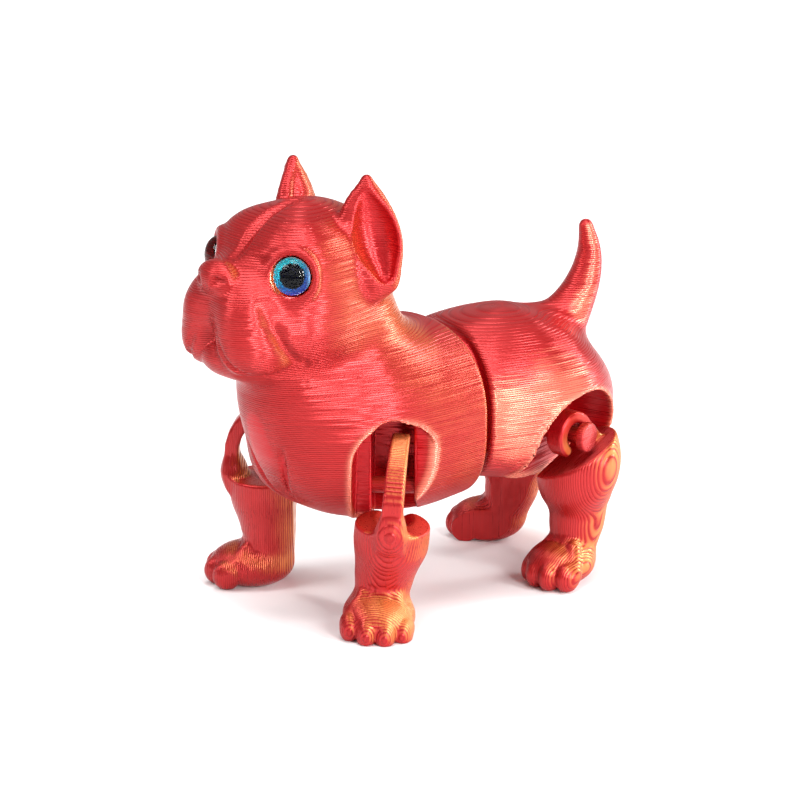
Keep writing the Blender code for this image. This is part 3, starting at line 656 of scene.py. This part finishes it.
def silk(name, stack, gold_and_highlight_side, gold_and_highlight_most, ridges, gold_and_highlight_from=0.2, gold_and_highlight=GOLD):
    """Two-colour silk filament: fine layers along one direction, gold where the strands face one side (peach
    on the rear, partly a painted highlight), with painted shade in the grooves between layers, a painted pink
    highlight along pocket lips and painted deep-red shade in recesses.
    """
    mat, tree, shader = nodes_of(name)
    stack = Vector(stack).normalized()
    spot = add(tree, "ShaderNodeTexCoord").outputs["Object"]
    normal = add(tree, "ShaderNodeTexCoord").outputs["Normal"]
    height = dot(tree, spot, stack)
    facing = dot(tree, normal, stack)
    # strands: noise drawn out along each layer, and slow drifts of tone
    squeeze = tuple(STRAND_ALONG + STRAND_ACROSS * abs(c) for c in stack)
    strand = calc(tree, "SUBTRACT", noise(tree, vector(tree, "MULTIPLY", spot, squeeze), 1.0, 3.0), 0.5)
    drift = calc(tree, "SUBTRACT", noise(tree, spot, DRIFT, 3.0), 0.5)
    layers = calc(tree, "MULTIPLY_ADD", drift, 0.12, calc(tree, "MULTIPLY", height, 1 / (LAYER * MM)))
    phase = calc(tree, "FRACT", layers)
    offset = calc(tree, "ABSOLUTE", calc(tree, "MULTIPLY_ADD", phase, 2.0, -1.0))
    ridge = calc(tree, "SUBTRACT", 1.0, calc(tree, "POWER", offset, 2.0))
    # colour
    lean = dot(tree, normal, Vector(gold_and_highlight_side).normalized())
    lean = calc(tree, "MULTIPLY_ADD", strand, 0.5, lean)
    lean = calc(tree, "MULTIPLY_ADD", drift, 0.5, lean)
    lean = calc(tree, "MULTIPLY_ADD", calc(tree, "SUBTRACT", ridge, 0.6), ridges, lean)
    base = blend_colour(tree, ramp(tree, lean, gold_and_highlight_from, 1.1, 0.0, gold_and_highlight_most), RED, gold_and_highlight)
    # painted shade: each groove between layers is darkened toward deep red
    base = blend_colour(tree, ramp(tree, ridge, 0.0, 0.75, 0.75, 0.0), base, GROOVE_SHADE)
    lip_highlight = add(tree, "ShaderNodeAttribute", attribute_name="lip_highlight").outputs["Fac"]
    recess_shade = add(tree, "ShaderNodeAttribute", attribute_name="recess_shade").outputs["Fac"]
    # painted highlight: pink along the lips of the pockets
    base = blend_colour(tree, calc(tree, "MULTIPLY", lip_highlight, 0.9), base, PINK_HIGHLIGHT)
    # painted shade: deep red in the pockets, the ear hollows, the tops of the front legs and the rings of the
    # rear legs
    base = blend_colour(tree, recess_shade, base, SHADE_RED)
    value = calc(tree, "MULTIPLY_ADD", strand, 0.35, 1.0)
    tone = add(tree, "ShaderNodeHueSaturation", {"Value": value, "Color": base}).outputs[0]
    tree.links.new(tone, shader.inputs["Base Color"])
    # gloss: drawn out across the layers, as on a bundle of threads, each thread lying a little askew
    toward = add(tree, "ShaderNodeVectorTransform", {0: tuple(stack)}, vector_type="VECTOR",
                 convert_from="OBJECT", convert_to="WORLD").outputs[0]
    tree.links.new(toward, shader.inputs["Tangent"])
    shader.inputs["Anisotropic"].default_value = 0.85
    shader.inputs["Metallic"].default_value = 0.5
    shader.inputs["Specular IOR Level"].default_value = 0.6
    tree.links.new(calc(tree, "MULTIPLY_ADD", strand, 0.2, 0.30), shader.inputs["Roughness"])
    outward = add(tree, "ShaderNodeNewGeometry").outputs["Normal"]
    sideways = vector(tree, "CROSS_PRODUCT", toward, outward)
    amount = calc(tree, "MULTIPLY", strand, 0.6)
    askew = add(tree, "ShaderNodeVectorMath", {0: sideways, "Scale": amount}, operation="SCALE").outputs[0]
    askew = vector(tree, "ADD", outward, askew)
    askew = add(tree, "ShaderNodeVectorMath", {0: askew}, operation="NORMALIZE").outputs[0]
    # relief: rounded strands on walls, terraces where the surface lies along the stack
    tread = calc(tree, "SUBTRACT", ramp(tree, phase, 0.72, 1.0), phase)
    terrace = calc(tree, "MULTIPLY", calc(tree, "MULTIPLY", tread, facing), 0.5 * LAYER * MM)
    bead = calc(tree, "MULTIPLY", ridge, 0.15 * LAYER * MM)
    relief = calc(tree, "ADD", terrace, bead)
    plain = calc(tree, "MULTIPLY_ADD", recess_shade, -0.8, 1.0)
    bump = add(tree, "ShaderNodeBump",
               {"Strength": plain, "Distance": 1.0, "Height": relief, "Normal": askew})
    tree.links.new(bump.outputs[0], shader.inputs["Normal"])
    return mat


def turned(matrix, direction):
    """A direction of one frame in the row's frame."""
    return matrix.to_3x3().normalized() @ Vector(direction)


body_silk = silk("body_silk", (0, 0, 1), (0.4, 0.9, 0.1), 0.55, 0.2)
# peach on the flank facing out and a little forward: the filament's gold tone with a painted highlight band
# mixed in
rear_silk = silk("rear_silk", (0, 0, 1), (0.97, -0.22, 0.0), 0.9, 0.2, 0.8, PEACH_HIGHLIGHT)

# ---------------------------------------------------------------- pieces
FINE = 0.42
LEG_FINE = 0.27


def shell(name, field, low, high, place, mat, body):
    """One half of the body."""
    verts, faces = skin(field, low, high, FINE)
    p = [verts[:, i].astype(F) for i in range(3)]
    obj = add_mesh(name + "_skin", verts, faces, place, mat, pocket_marks(name, p))
    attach(obj, body)
    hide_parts(name)


def pocket_marks(name, p):
    """How near a point is to a pocket's edge, for a painted highlight along the lip, and whether it lies
    inside the trunk or an ear's hollow, for painted shade there.
    """
    m = both(p)
    if name.startswith("front"):
        opening = front_pocket(m)[0]
        depth = trunk(p, FRONT_STATIONS)
    else:
        opening = rear_pocket(m)
        depth = trunk(p, REAR_STATIONS)
    lip_highlight = np.exp(-(opening / F(0.6)) ** 2) * np.clip(1 + depth / F(0.7), 0, 1)
    recess_shade = np.clip((F(-0.5) - depth) / F(0.8), 0, 1)
    if name.startswith("front"):
        ears = np.clip((F(0.25) - np.abs(bent(m, *EAR_HOLLOW))) / F(0.2), 0, 1)
        recess_shade = np.maximum(recess_shade, ears * F(0.55))
    return {"lip_highlight": lip_highlight, "recess_shade": recess_shade}


shell("front_body_shell", front_half, (-19, -40, 15), (19, 14.5, 78), body_frame(), body_silk, "front_body")
shell("rear_body_shell", rear_half, (-18.5, 2.5, 15), (18.5, 45, 61.5), rear_frame(), rear_silk, "rear_body")


# the side of a leg whose strands show gold, in the row's frame
LEG_GOLD = {"front": (0.5, 0.5, 0.7), "rear": (0.5, 0.6, 0.5)}


def make_leg(name):
    """One posed leg, with its layers stacked from back to front or from inside to outside."""
    end, hand = name.split("_")
    side = 1 if hand == "left" else -1
    place = leg_frame(name, side)
    shape = front_leg if end == "front" else rear_leg
    reach = (8, 14, 34) if end == "front" else (8.5, 12, 32)
    down = np.array(place)[2]

    def posed(p):
        """The leg's own shape, cut level where the posed sole meets the ground."""
        above = p[0] * F(down[0]) + p[1] * F(down[1]) + p[2] * F(down[2]) + F(down[3] / MM)
        return smax(shape([p[0] * F(side), p[1], p[2]]), -above, 0.25)

    verts, faces = skin(posed, (-reach[0], -12, -2), reach, LEG_FINE)
    stack = turned(place, (0, -1, 0) if end == "front" else (side, 0, 0))
    mat = silk("leg_silk_" + name, stack, LEG_GOLD[end], 0.85, 0.6)
    marks = {"recess_shade": leg_recess_shade(end, *verts.T)}
    leg = add_mesh("leg_" + name + "_skin", verts, faces, place, mat, marks)
    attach(leg, "leg_" + name)
    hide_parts("leg_" + name)


def leg_recess_shade(end, x, y, z):
    """The plain parts, painted deep red as shade: the top and cup of a front leg, the ring of a rear one."""
    if end == "rear":
        return np.clip((z - 24.5) / 2.5, 0, 1) * 0.85
    below = z < FRONT_RIM_Z + 0.3
    top = (z > FRONT_RIM_Z - 0.5) & (y > -3.2)
    cup = np.abs(ball((x, y, z), *FRONT_CUP)) < 0.3
    return ((top | cup) & below) * 0.85


for name in LEG_POSES:
    make_leg(name)


# ---------------------------------------------------------------- bars and pin
def turned_profile(name, place, profile, mat, count=48):
    """A closed turned piece: radius and height of each ring, round the frame's z axis."""
    angle = np.arange(count) * 2 * math.pi / count
    verts = [(0, 0, profile[0][1])]
    for r, z in profile:
        verts += [(r * math.cos(a), r * math.sin(a), z) for a in angle]
    verts.append((0, 0, profile[-1][1]))
    last = len(verts) - 1
    faces = []
    for k in range(count):
        n = (k + 1) % count
        faces.append((0, 1 + n, 1 + k))
        faces.append((last, last - count + k, last - count + n))
        for row in range(len(profile) - 1):
            i = 1 + row * count
            faces.append((i + k, i + n, i + count + n, i + count + k))
    mesh = bpy.data.meshes.new(name)
    mesh.from_pydata([place @ (Vector(v) * MM) for v in verts], [], faces)
    mesh.shade_smooth()
    mesh.set_sharp_from_angle(angle=math.radians(35))
    mesh.materials.append(mat)
    obj = bpy.data.objects.new(name, mesh)
    bpy.context.collection.objects.link(obj)
    return obj


def along(start, end):
    """A frame at the start of a line, its z axis toward the end, and the line's length."""
    start, end = Vector(start), Vector(end)
    turn = (end - start).to_track_quat("Z", "Y").to_matrix().to_4x4()
    return Matrix.Translation(start * MM) @ turn, (end - start).length


def rounded(radius, low, high, edge=0.35):
    """Profile of a plain bar with rounded ends."""
    profile = []
    for i in range(ROUND_STEPS + 1):
        a = math.radians(90 * i / ROUND_STEPS)
        profile.append((radius - edge + edge * math.sin(a), low + edge - edge * math.cos(a)))
    return profile + [(r, high - (z - low)) for r, z in reversed(profile)]


def make_bar(node, place, start, end, radius, body, head=None):
    """A round bar from start to end, with a wider head at its end if one is given."""
    line, length = along(start, end)
    profile = rounded(radius, 0, length)
    if head:
        wide, thick = head
        profile = profile[:ROUND_STEPS + 1] + [(radius, length - thick)]
        profile += rounded(wide, length - thick, length, 0.3)
    bar = turned_profile(node + "_bar", place @ line, profile, bar_silk)
    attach(bar, body)
    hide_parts(node)


def hook_bar(end, hand, middle, ends, head=None):
    """The bar that one leg hangs on, across its pocket."""
    side = 1 if hand == "left" else -1
    place = half_frame(end) @ mirror(leg_socket(end), side)
    start, stop = ((x * side, middle[1], middle[2]) for x in ends)
    make_bar("hook_bar_" + end + "_" + hand, place, start, stop, BAR_RADIUS, end + "_body", head)


bar_silk = silk("bar_silk", (0, 0, 1), (0.3, 0.2, 0.9), 0.1, 0.2)
for hand in SIDES.values():
    hook_bar("front", hand, FRONT_BAR, FRONT_BAR_ENDS)
    hook_bar("rear", hand, REAR_BAR, REAR_BAR_ENDS, BAR_HEAD)
low, high = ((0, WAIST_Y, z) for z in PIN_ENDS)
make_bar("waist_pin", rear_frame(), low, high, PIN_RADIUS, "rear_body")


# ---------------------------------------------------------------- eyes
def glass():
    """Clear glass with a faint smear."""
    mat, tree, shader = nodes_of("eye_glass")
    shader.inputs["Base Color"].default_value = (0.97, 0.99, 1.0, 1)
    shader.inputs["Transmission Weight"].default_value = 1.0
    shader.inputs["IOR"].default_value = 1.25
    spot = add(tree, "ShaderNodeTexCoord").outputs["Object"]
    smear = noise(tree, spot, 900.0, 2.0)
    tree.links.new(calc(tree, "MULTIPLY_ADD", smear, 0.05, 0.0), shader.inputs["Roughness"])
    bump = add(tree, "ShaderNodeBump", {"Strength": 0.2, "Distance": 0.00001, "Height": smear})
    tree.links.new(bump.outputs[0], shader.inputs["Normal"])
    # light reaches the painted disc straight through the glass
    clear = add(tree, "ShaderNodeBsdfTransparent").outputs[0]
    shadow = add(tree, "ShaderNodeLightPath").outputs["Is Shadow Ray"]
    mix = add(tree, "ShaderNodeMixShader", {0: shadow, 1: shader.outputs[0], 2: clear})
    tree.links.new(mix.outputs[0], tree.nodes["Material Output"].inputs["Surface"])
    return mat


def iris_paint(name, matrix):
    """Printed iris: a turquoise to deep blue ring of fine rays round a black pupil with a ragged edge."""
    mat, tree, shader = nodes_of(name)
    spot = add(tree, "ShaderNodeTexCoord").outputs["Object"]
    centre = matrix.translation
    offset = vector(tree, "SUBTRACT", spot, tuple(centre))
    right = dot(tree, offset, turned(matrix, (1, 0, 0)) / (EYE_RADIUS * MM))
    upward = dot(tree, offset, turned(matrix, (0, 1, 0)) / (EYE_RADIUS * MM))
    angle = calc(tree, "ARCTAN2", upward, right)
    square = calc(tree, "MULTIPLY_ADD", right, right, calc(tree, "MULTIPLY", upward, upward))
    radius = calc(tree, "SQRT", square)
    rays = add(tree, "ShaderNodeCombineXYZ", {0: calc(tree, "MULTIPLY", calc(tree, "COSINE", angle), 7.0),
                                              1: calc(tree, "MULTIPLY", calc(tree, "SINE", angle), 7.0),
                                              2: calc(tree, "MULTIPLY", radius, 0.8)}).outputs[0]
    ray = add(tree, "ShaderNodeTexNoise",
              {"Vector": rays, "Scale": 1.4, "Detail": 4.0, "Roughness": 0.7}).outputs["Fac"]
    slant = calc(tree, "ADD", calc(tree, "MULTIPLY", upward, 0.75), calc(tree, "MULTIPLY", right, -0.55))
    hue = ramp(tree, calc(tree, "MULTIPLY_ADD", calc(tree, "SUBTRACT", ray, 0.5), 0.9, slant), -0.55, 0.65)
    colour = blend_colour(tree, hue, (0.01, 0.035, 0.20, 1), (0.012, 0.26, 0.30, 1))
    outer = calc(tree, "ADD", calc(tree, "MULTIPLY", right, 0.8), calc(tree, "MULTIPLY", radius, 0.35))
    pale = ramp(tree, outer, 0.75, 1.0)
    colour = blend_colour(tree, calc(tree, "MULTIPLY", pale, 0.7), colour, (0.25, 0.55, 0.85, 1))
    colour = blend_colour(tree, ramp(tree, ray, 0.35, 0.7, 0.35, 0.0), colour, (0.0, 0.01, 0.05, 1))
    ragged = calc(tree, "MULTIPLY_ADD", calc(tree, "SUBTRACT", ray, 0.5), 0.22, radius)
    colour = blend_colour(tree, ramp(tree, ragged, 0.63, 0.57), colour, (0.0, 0.0, 0.001, 1))
    colour = blend_colour(tree, ramp(tree, radius, 0.93, 0.97), colour, (0.004, 0.008, 0.03, 1))
    tree.links.new(colour, shader.inputs["Base Color"])
    shader.inputs["Specular IOR Level"].default_value = 0.0
    tree.links.new(ramp(tree, ray, 0.0, 1.0, 0.45, 0.7), shader.inputs["Roughness"])
    bump = add(tree, "ShaderNodeBump", {"Strength": 0.3, "Distance": 0.00003, "Height": ray})
    tree.links.new(bump.outputs[0], shader.inputs["Normal"])
    return mat


eye_glass = glass()
for side, hand in SIDES.items():
    matrix = eye_frame(side)
    profile = [(EYE_RADIUS - 0.15, 0.0), (EYE_RADIUS - 0.04, 0.04), (EYE_RADIUS, 0.15)]
    profile.append((EYE_RADIUS, DOME_EDGE))
    for i in range(1, 14):
        a = math.radians(88 * i / 13)
        profile.append((EYE_RADIUS * math.cos(a), DOME_EDGE + DOME_RISE * math.sin(a)))
    dome = turned_profile("eye_dome_" + hand, matrix, profile, eye_glass, 64)
    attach(dome, "front_body")
    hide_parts("eye_glass_" + hand)
    paint = iris_paint("iris_paint_" + hand, matrix)
    profile = [(2.85, -0.6), (2.95, -0.55), (2.95, -0.08), (2.9, -0.03)]
    disc = turned_profile("eye_disc_" + hand, matrix, profile, paint, 64)
    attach(disc, "front_body")
    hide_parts("eye_iris_" + hand)

# ---------------------------------------------------------------- studio
CAMERA_AZIMUTH = 48.5           # degrees from the front toward the dog's left
CAMERA_ELEVATION = 17.0
CAMERA_DISTANCE = 0.6
CAMERA_TARGET = (4.0, 0.0, 35.0)
FLOOR_HALF = 3.0

target = body_frame() @ (Vector(CAMERA_TARGET) * MM)
azimuth, elevation = math.radians(CAMERA_AZIMUTH), math.radians(CAMERA_ELEVATION)
level = Vector((math.sin(azimuth), -math.cos(azimuth), 0))
back = level * math.cos(elevation) + Vector((0, 0, math.sin(elevation)))
camera = bpy.data.objects.new("camera", bpy.data.cameras.new("camera"))
camera.data.lens = 164.7
camera.data.sensor_width = 36
camera.data.clip_start = 0.01
camera.location = target + back * CAMERA_DISTANCE
camera.rotation_euler = back.to_track_quat("Z", "Y").to_euler()
bpy.context.collection.objects.link(camera)
bpy.context.scene.camera = camera

floor_mesh = bpy.data.meshes.new("floor")
square = [(-1, -1), (1, -1), (1, 1), (-1, 1)]
floor_mesh.from_pydata([(x * FLOOR_HALF, y * FLOOR_HALF, 0) for x, y in square], [], [(0, 1, 2, 3)])
floor = bpy.data.objects.new("floor", floor_mesh)
bpy.context.collection.objects.link(floor)
mat, tree, shader = nodes_of("floor_paper")
shader.inputs["Base Color"].default_value = (0.9, 0.9, 0.9, 1)
grain = noise(tree, add(tree, "ShaderNodeTexCoord").outputs["Object"], 400.0, 2.0)
tree.links.new(ramp(tree, grain, 0.0, 1.0, 0.85, 0.95), shader.inputs["Roughness"])
bump = add(tree, "ShaderNodeBump", {"Strength": 0.1, "Distance": 0.0001, "Height": grain})
tree.links.new(bump.outputs[0], shader.inputs["Normal"])
floor_mesh.materials.append(mat)


def softbox(name, spot, size, power):
    """A white panel light aimed at the middle of the figure."""
    light = bpy.data.lights.new(name, "AREA")
    light.shape = "RECTANGLE"
    light.size, light.size_y = size
    light.energy = power
    obj = bpy.data.objects.new(name, light)
    obj.location = spot
    aim = Vector((0, 0, 0.03)) - obj.location
    obj.rotation_euler = aim.to_track_quat("-Z", "Y").to_euler()
    bpy.context.collection.objects.link(obj)


softbox("key", (-0.25, -0.60, 0.70), (0.4, 0.4), 4.0)
softbox("strip_flank", (0.78, 0.18, 0.32), (0.10, 0.7), 5.5)
softbox("strip_shoulder", (0.78, -0.17, 0.36), (0.09, 0.5), 4.5)
softbox("strip_back", (0.27, 0.75, 0.32), (0.14, 0.7), 5.0)
softbox("top", (0, 0, 1.0), (0.6, 0.6), 7.5)
world = bpy.data.worlds.new("studio")
world.use_nodes = True
world.node_tree.nodes["Background"].inputs[0].default_value = (1, 1, 1, 1)
world.node_tree.nodes["Background"].inputs[1].default_value = 0.33
bpy.context.scene.world = world
bpy.context.scene.view_settings.view_transform = "Standard"
